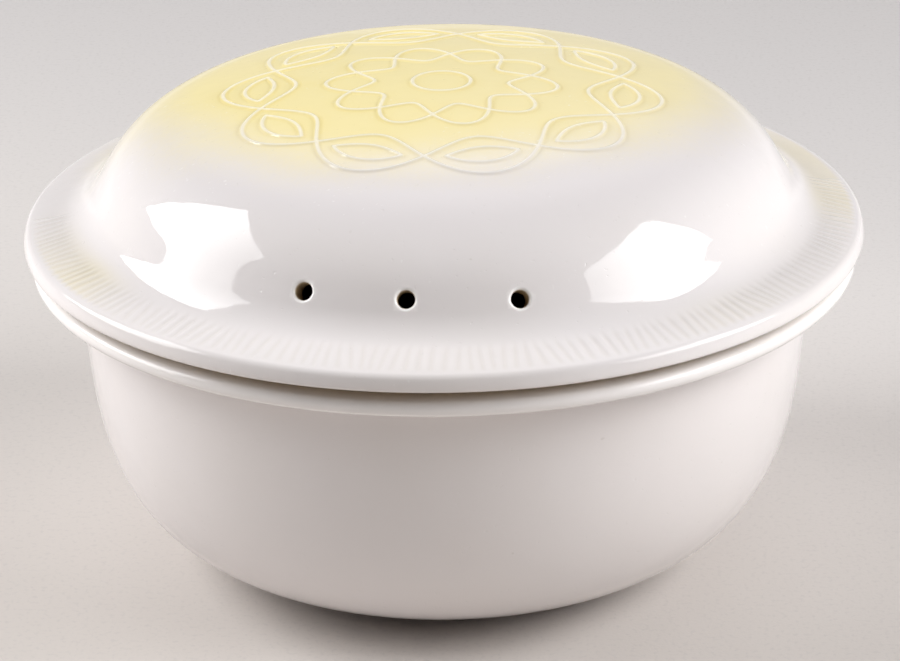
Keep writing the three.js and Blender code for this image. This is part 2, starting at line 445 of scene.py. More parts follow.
def soften(obj):
    """Smooth shading, apart from sharp edges."""
    obj.data.shade_smooth()
    obj.data.set_sharp_from_angle(angle=math.radians(SHARP_DEG))


def vertex_places(mesh):
    places = np.empty(len(mesh.vertices) * 3, np.float32)
    mesh.vertices.foreach_get("co", places)
    return places.reshape(-1, 3).astype(float)


def write_attribute(mesh, name, values):
    layer = mesh.attributes.new(name, "FLOAT", "POINT")
    layer.data.foreach_set("value", np.asarray(values, np.float32))


def smoothstep(low, high, value):
    t = np.clip((value - low) / (high - low), 0, 1)
    return t * t * (3 - 2 * t)


# Bowl
def bowl_profile():
    wall_radius = MOUTH_RADIUS + WALL
    lip_radius = wall_radius + LIP_REACH
    droop = facing(LIP_DROOP_DEG)
    down = downhill(LIP_DROOP_DEG)
    half = LIP_THICKNESS / 2
    seat_edge = at(MOUTH_RADIUS + SEAT_WIDTH, BOWL_HEIGHT)
    lip_centre = level_with(seat_edge - droop * half, down, lip_radius - half)
    fillet = level_with(lip_centre - droop * (half + LIP_FILLET), down, wall_radius + LIP_FILLET)
    seat_setback = SEAT_ROUND * math.tan(math.radians(LIP_DROOP_DEG / 2))
    seat_centre = seat_edge - at(seat_setback, SEAT_ROUND)

    foot_top = at(FOOT_RADIUS, FOOT_HEIGHT)
    wall_top = at(wall_radius, fillet[1])
    belly_out = at(math.cos(math.radians(BELLY_SLOPE_DEG)), math.sin(math.radians(BELLY_SLOPE_DEG)))
    controls = [foot_top, foot_top + belly_out * BELLY_HANDLE, wall_top - at(0, WALL_HANDLE), wall_top]
    belly_steps = math.ceil(np.linalg.norm(wall_top - foot_top) / BOWL_STEP)
    outside, travel = bezier(controls, belly_steps)
    walls = np.linspace(FOOT_WALL, WALL, belly_steps + 1)[:, None]
    inside = (outside + np.column_stack([-travel[:, 1], travel[:, 0]]) * walls)[::-1]
    dish_reach = FLOOR_DISH / math.tan(math.radians(BELLY_SLOPE_DEG))
    floor_edge = inside[-1] - at(dish_reach, FLOOR_DISH)
    floor_steps = belly_steps // FLOOR_COARSENESS
    floor, _ = bezier([inside[-1], floor_edge, floor_edge - at(dish_reach, 0)], floor_steps)

    foot_inner = FOOT_RADIUS - FOOT_WIDTH
    mouth = at(MOUTH_RADIUS + MOUTH_ROUND, BOWL_HEIGHT - MOUTH_ROUND)
    return joined(
        line(at(0, FOOT_HEIGHT), at(foot_inner - FOOT_EASE, FOOT_HEIGHT), FOOT_WIDTH),
        arc(at(foot_inner + FOOT_EASE, FOOT_EASE), FOOT_EASE, 180, 270, EDGE_STEP),
        arc(at(FOOT_RADIUS - FOOT_EASE, FOOT_EASE), FOOT_EASE, -90, 0, EDGE_STEP),
        outside,
        arc(fillet, LIP_FILLET, 180, 90 - LIP_DROOP_DEG, EDGE_STEP),
        arc(lip_centre, half, -90 - LIP_DROOP_DEG, 90 - LIP_DROOP_DEG, EDGE_STEP),
        arc(seat_centre, SEAT_ROUND, 90 - LIP_DROOP_DEG, 90, EDGE_STEP),
        arc(mouth, MOUTH_ROUND, 90, 180, EDGE_STEP),
        inside,
        floor,
        line(floor[-1], at(0, floor[-1][1]), FOOT_WIDTH),
    )


def make_bowl():
    skin = Skin()
    skin.turn(bowl_profile(), BOWL_TURN)
    bowl = skin.object("bowl_glazed")
    soften(bowl)
    places = vertex_places(bowl.data)
    radius = np.linalg.norm(places[:, :2], axis=1)
    upper = places[:, 2] > BOWL_HEIGHT - LIP_THICKNESS
    seat = smoothstep(MOUTH_RADIUS, MOUTH_RADIUS + MOUTH_ROUND, radius)
    seat = seat * (1 - smoothstep(BARE_AND_SHADED_LIP_EDGE - BARE_SOFTNESS, BARE_AND_SHADED_LIP_EDGE + BARE_SOFTNESS, radius))
    write_attribute(bowl.data, "bare_and_painted_shade", np.where(upper, seat, 0))
    return bowl


# Circles of the lid's profile
underside = BOWL_HEIGHT + SEAT_CLEARANCE
shoulder_radius_at = MOUTH_RADIUS + DOME_OVER_MOUTH - SHOULDER_RADIUS
crown_drop = math.sqrt((CROWN_RADIUS - SHOULDER_RADIUS) ** 2 - shoulder_radius_at**2)
crown_centre = at(0, LID_TOP - CROWN_RADIUS)
shoulder_centre = at(shoulder_radius_at, crown_centre[1] + crown_drop)
knee_deg = math.degrees(math.atan2(crown_drop, shoulder_radius_at))
knee = shoulder_centre + SHOULDER_RADIUS * facing(90 - knee_deg)
brim_facing = facing(BRIM_SLOPE_DEG)
brim_down = downhill(BRIM_SLOPE_DEG)
rim_low = at(LID_RADIUS - RIM_LOW_ROUND, underside + RIM_LOW_ROUND)
rim_face = at(LID_RADIUS - RIM_FACE_ROUND, rim_low[1])
rim_crest = rim_face + facing(RIM_FACE_DEG) * (RIM_FACE_ROUND - RIM_CREST_ROUND)
brim_edge = rim_crest + brim_facing * RIM_CREST_ROUND
rib_end = LID_RADIUS - RIB_EDGE_MARGIN
rib_start = rib_end - RIB_REACH

# Short straight cone between the shoulder and the fillet that runs out into the brim
cone_facing = facing(CONE_SLOPE_DEG)
cone_down = downhill(CONE_SLOPE_DEG)
cone_start = shoulder_centre + SHOULDER_RADIUS * cone_facing
fillet_turn = BRIM_FILLET * (cone_facing - brim_facing)
cone_length = (brim_edge - cone_start - fillet_turn) @ brim_facing / (cone_down @ brim_facing)
cone_end = cone_start + cone_down * cone_length
fillet_centre = cone_end + BRIM_FILLET * cone_facing
fillet_end = fillet_centre - BRIM_FILLET * brim_facing


def brim_surface(radius):
    """Point of the fillet or the brim at this radius, and the direction out of it."""
    if radius > fillet_end[0]:
        return level_with(brim_edge, brim_down, radius), brim_facing
    out = facing(math.degrees(math.asin((fillet_centre[0] - radius) / BRIM_FILLET)))
    return fillet_centre - BRIM_FILLET * out, out


def circle_rise(size, offset):
    """Height on a circle above its centre, at this offset from it."""
    return np.sqrt(np.maximum(size**2 - offset**2, 0))


def lid_top_height(radius):
    """Height of the lid's upper surface, without ornament and ribs."""
    crown = crown_centre[1] + circle_rise(CROWN_RADIUS, radius)
    shoulder = shoulder_centre[1] + circle_rise(SHOULDER_RADIUS, radius - shoulder_centre[0])
    cone = cone_start[1] + (cone_start[0] - radius) * math.tan(math.radians(CONE_SLOPE_DEG))
    fillet = fillet_centre[1] - circle_rise(BRIM_FILLET, radius - fillet_centre[0])
    brim = brim_edge[1] + (brim_edge[0] - radius) * math.tan(math.radians(BRIM_SLOPE_DEG))
    stretches = [radius < end[0] for end in (knee, cone_start, cone_end, fillet_end)]
    return np.select(stretches, [crown, shoulder, cone, fillet], brim)


def uneven(angle, waves):
    """Slow irregular wave round the axis."""
    return sum(swing * np.sin(count * angle + phase) for count, swing, phase in waves)


def away_from(angle, middle_deg):
    """Turn from a direction, in degrees either way."""
    return np.abs((np.degrees(angle) - middle_deg + 180) % 360 - 180)


def rib_shape(radius, angle):
    """Height of the ribs, from 0 in a groove to 1 on a rib's back, and how far the band is ribbed there."""
    past_middle = radius - (rib_start + rib_end) / 2
    slant = uneven(angle, RIB_SLANT) * past_middle / np.maximum(radius, rib_start)
    shifted_deg = np.degrees(angle + uneven(angle, RIB_WANDER) + slant)
    steps = (shifted_deg - RIB_FIRST_DEG) / RIB_PITCH_DEG
    across = 1 - ((1 - np.cos(2 * math.pi * steps)) / 2) ** GROOVE_SHARPNESS
    past_inner_deg = away_from(angle, RIB_MIDDLE_DEG) - RIB_SPAN_INNER_DEG
    cut = np.clip(past_inner_deg / (RIB_SPAN_OUTER_DEG - RIB_SPAN_INNER_DEG), 0, 1)
    inner = rib_start + cut * RIB_REACH
    along = smoothstep(inner, inner + RIB_FADE_IN, radius)
    along = along * (1 - smoothstep(rib_end - RIB_FADE_OUT, rib_end, radius))
    return across * along, along


def rib_rise(radius, angle):
    return RIB_HEIGHT * (1 + uneven(angle, RIB_DEPTH)) * rib_shape(radius, angle)[0]


def brim_tint(radius, angle):
    """How far yellow glaze covers the brim. On ribs most of it lies in the grooves."""
    band = smoothstep(rib_start - BRIM_TINT_FADE, rib_start + BRIM_TINT_FADE, radius)
    band = band * (1 - smoothstep(rib_end - BRIM_TINT_FADE / 2, rib_end, radius))
    cover = 0
    for middle, spread, strength in BRIM_TINTS:
        cover = cover + strength * np.exp(-((away_from(angle, middle) / spread) ** 2))
    return cover * (band - RIB_TINT_BACK * rib_shape(radius, angle)[0])


def rib_groove(radius, angle):
    """From 0 on a rib's back, and beside the ribs, to 1 in a groove."""
    ribs, ribbed = rib_shape(radius, angle)
    return ribbed - ribs


# Ornament: closed curves as (x, y) seen from above
def waving_ring(middle, swing, waves, phase):
    count = math.ceil(4 * math.pi * (middle + swing) / LINE_SAMPLE)
    turn = np.linspace(0, 2 * math.pi, count, endpoint=False)
    radius = middle + swing * np.sin(waves * turn + phase)
    return np.column_stack([radius * np.sin(turn), -radius * np.cos(turn)])


def lens(middle, turn):
    """Pointed lens that lies along the ring of radius middle."""
    count = math.ceil(LENS_LENGTH / LINE_SAMPLE)
    travel = np.linspace(-1, 1, count)
    bulge = LENS_WIDTH / 2 * (1 - travel**2)
    radius = middle + np.concatenate([bulge, -bulge[-2:0:-1]])
    angle = turn + np.concatenate([travel, travel[-2:0:-1]]) * LENS_LENGTH / 2 / middle
    return np.column_stack([radius * np.sin(angle), -radius * np.cos(angle)])


def ornament():
    curves = [waving_ring(MIDDLE_RING, 0, 1, 0)]
    for middle, swing, waves in PLAITS:
        curves.extend(waving_ring(middle, swing, waves, phase) for phase in (0, math.pi))
    middle, _, waves = PLAITS[0]
    curves.extend(lens(middle, (i + 0.5) * math.pi / waves) for i in range(2 * waves))
    return curves


def spaced(curve, step):
    """Points along a closed curve at equal steps, and the direction across it at each."""
    closed = np.vstack([curve, curve[:1]])
    travel = np.concatenate([[0], np.cumsum(np.linalg.norm(np.diff(closed, axis=0), axis=1))])
    places = np.linspace(0, travel[-1], round(travel[-1] / step), endpoint=False)
    points = np.column_stack([np.interp(places, travel, closed[:, i]) for i in (0, 1)])
    ahead = np.roll(points, -1, axis=0) - np.roll(points, 1, axis=0)
    across = np.column_stack([-ahead[:, 1], ahead[:, 0]])
    return points, across / np.linalg.norm(across, axis=1)[:, None]


def thinned(points, gap):
    """The points that keep this gap to all those before them."""
    cells = {}
    kept = []
    for x, y in points:
        column, row = int(x // gap), int(y // gap)
        near = [p for i in (-1, 0, 1) for j in (-1, 0, 1) for p in cells.get((column + i, row + j), ())]
        if all((x - u) ** 2 + (y - v) ** 2 >= gap**2 for u, v in near):
            cells.setdefault((column, row), []).append((x, y))
            kept.append((x, y))
    return np.array(kept)


class Ornament:
    """Raised lines, with the distance of any point of the crown from the nearest of them."""

    def __init__(self):
        self.curves = ornament()
        samples = np.vstack(self.curves)
        self.tree = kdtree.KDTree(len(samples))
        for i, (x, y) in enumerate(samples):
            self.tree.insert((x, y, 0), i)
        self.tree.balance()

    def distance(self, points):
        return np.array([self.tree.find((x, y, 0))[2] for x, y in points])

    def rise(self, points):
        """From 0 beside a line to 1 on its back."""
        share = np.clip(self.distance(points) / LINE_HALF_WIDTH, 0, 1)
        return np.cos(share * math.pi / 2) ** 2

    def mesh_points(self):
        """Points in rows along the lines, and a wide grid between them."""
        rows = []
        for offset in LINE_ROWS:
            for curve in self.curves:
                points, across = spaced(curve, LINE_STEP)
                rows.append(points + across * offset)
                if offset:
                    rows.append(points - across * offset)
        lines = thinned(np.vstack(rows), LINE_GAP)
        reach = np.arange(-knee[0], knee[0], CROWN_GRID)
        grid = np.array([(x, y) for x in reach for y in reach])
        grid = grid[np.linalg.norm(grid, axis=1) < knee[0] - CROWN_GRID / 2]
        grid = grid[self.distance(grid) > LINE_ROWS[-1] + CROWN_GRID / 2]
        return np.vstack([lines, grid])


# Lid
def lid_under_profile():
    """From the rim's edge under the brim, round the locating ring and up inside the dome to the axis."""
    ring_radius = MOUTH_RADIUS - RING_CLEARANCE
    ring_inner = ring_radius - RING_WALL
    shoulder_inner = SHOULDER_RADIUS - LID_WALL
    blend_radius = ring_inner - RING_BLEND
    blend_offset = blend_radius - shoulder_centre[0]
    blend_rise = math.sqrt((shoulder_inner - RING_BLEND) ** 2 - blend_offset**2)
    blend_centre = at(blend_radius, shoulder_centre[1] + blend_rise)
    blend_deg = math.degrees(math.atan2(blend_rise, blend_offset))
    ring_top = at(ring_radius + RING_FILLET, underside - RING_FILLET)
    ring_out = arc(ring_top, RING_FILLET, 90, 180, EDGE_STEP)
    ring_low = RING_BOTTOM + RING_ROUND
    return joined(
        arc(rim_low, RIM_LOW_ROUND, 0, -90, EDGE_STEP)[1:],
        line(at(rim_low[0], underside), ring_out[0], INNER_STEP),
        ring_out,
        arc(at(ring_radius - RING_ROUND, ring_low), RING_ROUND, 0, -90, EDGE_STEP),
        arc(at(ring_inner + RING_ROUND, ring_low), RING_ROUND, -90, -180, EDGE_STEP),
        arc(blend_centre, RING_BLEND, 0, blend_deg, INNER_STEP / 2),
        arc(shoulder_centre, shoulder_inner, blend_deg, knee_deg, INNER_STEP),
        arc(crown_centre, CROWN_RADIUS - LID_WALL, knee_deg, 90, INNER_STEP),
    )


def crown_disc(skin, relief):
    """Crown as one mesh of triangles that follows the raised lines. Returns its outer ring."""
    angles = ring_angles(LID_TURN)
    edge = knee[0] * np.column_stack([np.sin(angles), -np.cos(angles)])
    flat = np.vstack([edge, relief.mesh_points()])
    scale = 1 / LINE_STEP
    found, _, triangles, origins, _, _ = geometry.delaunay_2d_cdt(
        [Vector(p) for p in flat * scale], [], [], 0, NET_WELD
    )
    flat = np.array(found) / scale
    bump = LINE_HEIGHT * relief.rise(flat)
    bump[[i for i, origin in enumerate(origins) if origin and origin[0] < LID_TURN]] = 0
    radius = np.linalg.norm(flat, axis=1)
    height = lid_top_height(radius)
    stretch = 1 + bump / CROWN_RADIUS
    lifted = crown_centre[1] + (height - crown_centre[1]) * stretch
    indices = skin.add(np.column_stack([flat * stretch[:, None], lifted]))
    skin.faces.extend(tuple(indices[i] for i in triangle) for triangle in triangles)
    placed = {origin[0]: indices[i] for i, origin in enumerate(origins) if origin}
    return [placed[i] for i in range(LID_TURN)]


def lid_skin(relief):
    skin = Skin()
    ring = crown_disc(skin, relief)
    shoulder = joined(
        arc(shoulder_centre, SHOULDER_RADIUS, knee_deg, 90 - CONE_SLOPE_DEG, LID_STEP),
        line(cone_start, cone_end, LID_STEP),
        arc(fillet_centre, BRIM_FILLET, 270 - CONE_SLOPE_DEG, 270 - BRIM_SLOPE_DEG, LID_STEP / 2),
    )
    smooth = shoulder[shoulder[:, 0] < rib_start - LID_STEP / 2]
    ring = skin.turn(smooth[1:], LID_TURN, ring)
    for radius in np.linspace(rib_start, rib_end, RIB_ROWS):
        place, out = brim_surface(radius)
        following = skin.ring(*place, RIB_TURN, rib_rise, out)
        skin.bridge(ring, following)
        ring = following
    rim = joined(
        arc(rim_crest, RIM_CREST_ROUND, 90 - BRIM_SLOPE_DEG, 90 - RIM_FACE_DEG, EDGE_STEP / 2),
        arc(rim_face, RIM_FACE_ROUND, 90 - RIM_FACE_DEG, 0, EDGE_STEP),
    )
    rim = rim[rim[:, 0] > rib_end + EDGE_STEP / 4]
    ring = skin.turn(rim, LID_TURN, ring)
    skin.turn(lid_under_profile(), INNER_TURN, ring)
    return skin


def hole_frames():
    """Place of each steam hole on the cone, with directions round the axis, downhill and outwards."""
    upward = np.array([0, 0, 1])
    frames = []
    for angle_deg, way_down in HOLES:
        angle = math.radians(angle_deg)
        radial = np.array([math.sin(angle), -math.cos(angle), 0])
        around = np.array([math.cos(angle), math.sin(angle), 0])
        place = cone_start + cone_down * way_down
        lifted = [radial * way[0] + upward * way[1] for way in (place, cone_down, cone_facing)]
        frames.append((lifted[0], around, *lifted[1:]))
    return frames


def hole_cutters():
    """Cutters for the steam holes in one mesh, rounded where they leave the dome."""
    radius = HOLE_DIAMETER / 2
    depth = 2 * LID_WALL
    profile = joined(
        line(at(0, -depth), at(radius, -depth), depth),
        arc(at(radius + HOLE_EASE, -HOLE_EASE), HOLE_EASE, 180, 90, HOLE_EASE / HOLE_EASE_STEPS),
        line(at(radius + HOLE_EASE, HOLE_EASE), at(0, HOLE_EASE), depth),
    )
    one = Skin()
    one.turn(profile, HOLE_TURN)
    local = np.array(one.vertices)
    skin = Skin()
    for place, *axes in hole_frames():
        start = skin.add(place + local @ np.array(axes))[0]
        skin.faces.extend(tuple(start + j for j in face) for face in one.faces)
    return skin.object("hole_cutters")


def hole_offsets(places):
    """Distance of each place from the axis of each steam hole, and its depth under the dome there."""
    for place, around, down, out in hole_frames():
        offset = places - place
        yield np.hypot(offset @ around, offset @ down), -(offset @ out)


def hole_painted_highlight(places):
    """How far each place lies on the eased edge of a steam hole, where a white ring is painted as a
    highlight.
    """
    edge = np.zeros(len(places))
    for away, depth in hole_offsets(places):
        past = (away - HOLE_DIAMETER / 2) / HOLE_EASE
        ring = smoothstep(*HOLE_HIGHLIGHT_IN, past) * (1 - smoothstep(*HOLE_HIGHLIGHT_OUT, past))
        edge = np.where(np.abs(depth) < HOLE_EASE, np.maximum(edge, ring), edge)
    return edge


# Its dark clay colour is painted shade
def lid_bare_and_painted_shade(places, radius):
    """Where the lid has no glaze: its flat underside, and thinly the walls of the steam holes."""
    level = np.abs(places[:, 2] - underside) < EDGE_STEP / 4
    bare_and_painted_shade = level * (1 - smoothstep(BARE_BRIM_EDGE - BARE_SOFTNESS, BARE_BRIM_EDGE, radius))
    for away, depth in hole_offsets(places):
        near = (away < HOLE_DIAMETER / 2 + HOLE_EASE / 4) & (depth < 2 * LID_WALL)
        bare_and_painted_shade = np.where(near, smoothstep(HOLE_EASE / 4, HOLE_EASE, depth), bare_and_painted_shade)
    return bare_and_painted_shade


def cut(obj, cutter):
    """Subtracts the cutter from the object's mesh and deletes it."""
    change = obj.modifiers.new("holes", "BOOLEAN")
    change.operation = "DIFFERENCE"
    change.solver = "MANIFOLD"
    change.object = cutter
    graph = bpy.context.evaluated_depsgraph_get()
    mesh = bpy.data.meshes.new_from_object(obj.evaluated_get(graph))
    obj.modifiers.clear()
    obj.data = mesh
    bpy.data.objects.remove(cutter)


def make_lid():
    relief = Ornament()
    lid = lid_skin(relief).object("lid_glazed")
    cut(lid, hole_cutters())
    soften(lid)
    places = vertex_places(lid.data)
    radius = np.linalg.norm(places[:, :2], axis=1)
    angle = np.arctan2(places[:, 0], -places[:, 1])
    top = places[:, 2] > lid_top_height(radius) - LID_WALL / 2
    on_crown = top & (radius < knee[0])
    line_back = np.zeros(len(places))
    line_foot = np.zeros(len(places))
    line_back[on_crown] = relief.rise(places[on_crown, :2])
    away = relief.distance(places[on_crown, :2])
    line_foot[on_crown] = 1 - smoothstep(LINE_HALF_WIDTH / 2, LINE_POOL, away)
    write_attribute(lid.data, "bare_and_painted_shade", lid_bare_and_painted_shade(places, radius))
    write_attribute(lid.data, "top_side", top)
    write_attribute(lid.data, "line_back", line_back)
    write_attribute(lid.data, "line_foot", line_foot)
    write_attribute(lid.data, "brim_tint", np.where(top, brim_tint(radius, angle), 0))
    write_attribute(lid.data, "rib_groove", np.where(top, rib_groove(radius, angle), 0))
    write_attribute(lid.data, "hole_painted_highlight", hole_painted_highlight(places))
    return lid


# Materials
class Tree:
    """Shader nodes of one material, added by short calls."""

    def __init__(self, name):
        self.material = bpy.data.materials.new(name)
        self.material.use_nodes = True
        self.nodes = self.material.node_tree.nodes
        self.links = self.material.node_tree.links
        self.shader = self.nodes["Principled BSDF"]
        self.place = self.add("ShaderNodeTexCoord").outputs["Object"]

    def add(self, kind, settings=(), **inputs):
        """New node. An input's key is its name, or i and its number."""
        made = self.nodes.new(kind)
        for name, value in dict(settings).items():
            setattr(made, name, value)
        for key, value in inputs.items():
            number = key[1:]
            name = int(number) if number.isdigit() else key.replace("_", " ")
            self.set(made.inputs[name], value)
        return made

    def set(self, socket, value):
        if isinstance(value, bpy.types.NodeSocket):
            self.links.new(value, socket)
        elif socket.type == "RGBA" and len(value) == 3:
            socket.default_value = (*value, 1)
        else:
            socket.default_value = value

    def math(self, operation, *values):
        inputs = {f"i{n}": value for n, value in enumerate(values)}
        return self.add("ShaderNodeMath", {"operation": operation}, **inputs).outputs[0]

    def vector(self, operation, *values):
        inputs = {f"i{n}": value for n, value in enumerate(values)}
        made = self.add("ShaderNodeVectorMath", {"operation": operation}, **inputs)
        return made.outputs["Value" if operation in ("LENGTH", "DOT_PRODUCT") else "Vector"]

    def from_axis(self, centre=(0, 0)):
        """Distance from an upright line through this point."""
        offset = self.vector("SUBTRACT", self.place, (*centre, 0))
        return self.vector("LENGTH", self.vector("MULTIPLY", offset, (1, 1, 0)))

    def noise(self, size, detail, roughness=0.5, place=None):
        """Soft noise from 0 to 1 whose features are about this large, in metres."""
        made = self.add("ShaderNodeTexNoise", Scale=1 / size, Detail=detail, Roughness=roughness)
        self.set(made.inputs["Vector"], self.place if place is None else place)
        return made.outputs["Fac"]

    def ramp(self, value, low, high, to_low=0.0, to_high=1.0):
        """Smooth step from one value to another."""
        made = self.add(
            "ShaderNodeMapRange", {"interpolation_type": "SMOOTHSTEP"},
            i0=value, i1=low, i2=high, i3=to_low, i4=to_high,
        )
        return made.outputs[0]

    def mix(self, share, first, second):
        made = self.add("ShaderNodeMix", {"data_type": "RGBA"}, i0=share, i6=first, i7=second)
        return made.outputs[2]

    def attribute(self, name):
        return self.add("ShaderNodeAttribute", {"attribute_name": name}).outputs["Fac"]

    def bump(self, height, distance, normal=None):
        made = self.add("ShaderNodeBump", Height=height, Distance=distance, Strength=1)
        if normal is not None:
            self.links.new(normal, made.inputs["Normal"])
        return made.outputs["Normal"]

    def finish(self, **inputs):
        for name, value in inputs.items():
            self.set(self.shader.inputs[name.replace("_", " ")], value)
        return self.material


def glaze_white(tree):
    """White glaze with a slow change of tone, thinner and warmer in places, and sparse fine specks."""
    tone = tree.ramp(tree.noise(**TONE_NOISE), *TONE_RANGE)
    white = tree.mix(tone, WHITE_GLAZE, WHITE_GLAZE_THIN)
    specks = tree.ramp(tree.noise(**SPECK_NOISE), *SPECK_RANGE)
    return tree.mix(specks, white, BISCUIT)


def glaze_surface(tree):
    """Roughness and normal of a fired glaze: nearly smooth, with a faint ripple and pinholes."""
    ripple = tree.bump(tree.noise(**RIPPLE_NOISE), RIPPLE_DEPTH)
    pinholes = tree.ramp(tree.noise(**PINHOLE_NOISE), *PINHOLE_RANGE)
    normal = tree.bump(pinholes, -PINHOLE_DEPTH, ripple)
    roughness = tree.ramp(tree.noise(**GLOSS_NOISE), *GLOSS_RANGE)
    return roughness, normal


def bare_clay_and_painted_shade(tree, share, color, roughness, clay, clay_light):
    """Colour and roughness where grainy unglazed clay shows through by this share; on the seat it is
    painted shade.
    """
    grain = tree.noise(**CLAY_NOISE)
    color = tree.mix(share, color, tree.mix(grain, clay, clay_light))
    return color, tree.math("MAXIMUM", roughness, tree.math("MULTIPLY", share, CLAY_ROUGHNESS))


def bowl_material():
    tree = Tree("bowl_glaze")
    roughness, normal = glaze_surface(tree)
    height = tree.add("ShaderNodeSeparateXYZ", Vector=tree.place).outputs["Z"]
    foot = tree.ramp(height, *FOOT_BARE_RANGE)
    # Painted light on the lip, which the lid's brim shades
    lip_light = tree.ramp(tree.from_axis(), *LIP_PAINTED_LIGHT_IN, 0.0, LIP_PAINTED_LIGHT_SHARE)
    white = tree.mix(lip_light, glaze_white(tree), WHITE_SCUFF_AND_PAINTED_LIGHT)
    color, rough = bare_clay_and_painted_shade(tree, foot, white, roughness, BISCUIT, WHITE_GLAZE_THIN)
    # Painted shade: dark bare seat in the gap under the lid
    color, rough = bare_clay_and_painted_shade(tree, tree.attribute("bare_and_painted_shade"), color, rough, SEAT_CLAY_AND_PAINTED_SHADE, SEAT_CLAY_AND_PAINTED_SHADE_PALE)
    return tree.finish(Base_Color=color, Roughness=rough, Normal=normal, Specular_IOR_Level=GLAZE_SPECULAR)


def lid_material():
    tree = Tree("lid_glaze")
    roughness, normal = glaze_surface(tree)
    top = tree.attribute("top_side")
    # Painted shade: the shoulder is darkened in a band round the dome
    shoulder_shade = tree.ramp(tree.from_axis(), *SHOULDER_SHADE_IN)
    shoulder_shade = tree.math("MULTIPLY", shoulder_shade, tree.ramp(tree.from_axis(), *SHOULDER_SHADE_OUT))
    white = tree.mix(tree.math("MULTIPLY", shoulder_shade, top), glaze_white(tree), SHOULDER_PAINTED_SHADE)
    back = tree.attribute("line_back")
    foot = tree.attribute("line_foot")
    tint = tree.attribute("brim_tint")
    groove = tree.attribute("rib_groove")

    away = tree.from_axis(SPRAY_CENTRE)
    drift = tree.math("MULTIPLY_ADD", tree.noise(**SPRAY_DRIFT), SPRAY_DRIFT_REACH, -SPRAY_DRIFT_REACH / 2)
    mist = tree.math("MULTIPLY_ADD", tree.noise(**SPRAY_MIST), SPRAY_MIST_REACH, -SPRAY_MIST_REACH / 2)
    edge = tree.math("ADD", tree.math("ADD", away, drift), mist)
    spray = tree.ramp(edge, SPRAY_RADIUS + SPRAY_SOFTNESS, SPRAY_RADIUS - SPRAY_SOFTNESS)
    across = tree.add("ShaderNodeSeparateXYZ", Vector=tree.place).outputs["X"]
    spray = tree.math("MULTIPLY", spray, tree.ramp(across, *SPRAY_THINNING))
    spray = tree.math("MULTIPLY", spray, top)

    pooled = tree.math("MULTIPLY", foot, tree.ramp(tree.noise(**POOL_NOISE), *POOL_RANGE))
    yellow = tree.mix(pooled, YELLOW_GLAZE, YELLOW_GLAZE_POOLED)
    yellow = tree.mix(tree.ramp(back, *LINE_BACK_RANGE), yellow, CREAM_LINE)
    color = tree.mix(spray, white, yellow)

    stretched = tree.vector("MULTIPLY", tree.place, SCUFF_STRETCH)
    streaks = tree.noise(**SCUFF_NOISE, place=stretched)
    patches = tree.ramp(tree.noise(**SCUFF_PATCH_NOISE), *SCUFF_PATCH_RANGE)
    scuffs = tree.math("MULTIPLY", tree.ramp(streaks, *SCUFF_RANGE), patches)
    color = tree.mix(scuffs, color, WHITE_SCUFF_AND_PAINTED_LIGHT)
    color = tree.mix(tint, color, YELLOW_GLAZE)
    # Painted shade: grooves between the ribs darkened
    color = tree.mix(tree.math("MULTIPLY", groove, RIB_PAINTED_SHADE), color, GROOVE_PAINTED_SHADE)
    # Painted highlight round the steam holes
    color = tree.mix(tree.attribute("hole_painted_highlight"), color, WHITE_SCUFF_AND_PAINTED_LIGHT)
    # Painted shade: dark bare clay under the lid and in the steam holes
    color, rough = bare_clay_and_painted_shade(tree, tree.attribute("bare_and_painted_shade"), color, roughness, SEAT_CLAY_AND_PAINTED_SHADE, SEAT_CLAY_AND_PAINTED_SHADE_PALE)
    return tree.finish(Base_Color=color, Roughness=rough, Normal=normal, Specular_IOR_Level=GLAZE_SPECULAR)


def floor_material():
    tree = Tree("floor_paper")
    # Painted warm light towards the front left of the floor
    warm = tree.ramp(tree.vector("DOT_PRODUCT", tree.place, FLOOR_PAINTED_LIGHT_TOWARDS), *FLOOR_PAINTED_LIGHT_REACH)
    specks = tree.ramp(tree.noise(**FLOOR_SPECK_NOISE), *FLOOR_SPECK_RANGE)
    color = tree.mix(specks, tree.mix(warm, FLOOR_PALE, FLOOR_PAINTED_WARM_LIGHT), FLOOR_SPECK)
    normal = tree.bump(tree.noise(**FLOOR_GRAIN_NOISE), FLOOR_GRAIN_DEPTH)
    far = tree.ramp(tree.vector("LENGTH", tree.place), *BACKDROP_REACH)
    rays = tree.add("ShaderNodeLightPath").outputs
    mirrored = tree.math("MAXIMUM", rays["Is Glossy Ray"], rays["Is Transmission Ray"])
    seen = tree.math("MULTIPLY", far, tree.math("MAXIMUM", rays["Is Camera Ray"], mirrored))
    glow = tree.add("ShaderNodeEmission", Color=BACKDROP).outputs[0]
    ends = tree.add("ShaderNodeMixShader", i0=seen, i1=tree.shader.outputs[0], i2=glow).outputs[0]
    tree.links.new(ends, tree.nodes["Material Output"].inputs["Surface"])
    return tree.finish(Base_Color=color, Roughness=FLOOR_ROUGHNESS, Normal=normal)


# Studio
def make_floor():
    mesh = bpy.data.meshes.new("floor")
    half = FLOOR_SIZE / 2
    corners = [(-half, -half, 0), (half, -half, 0), (half, half, 0), (-half, half, 0)]
    mesh.from_pydata(corners, [], [(0, 1, 2, 3)])
    floor = bpy.data.objects.new("floor", mesh)
    bpy.context.scene.collection.objects.link(floor)
    floor.data.materials.append(floor_material())


def direction(azimuth_deg, elevation_deg):
    azimuth, elevation = math.radians(azimuth_deg), math.radians(elevation_deg)
    level = math.cos(elevation)
    return Vector((math.sin(azimuth) * level, -math.cos(azimuth) * level, math.sin(elevation)))


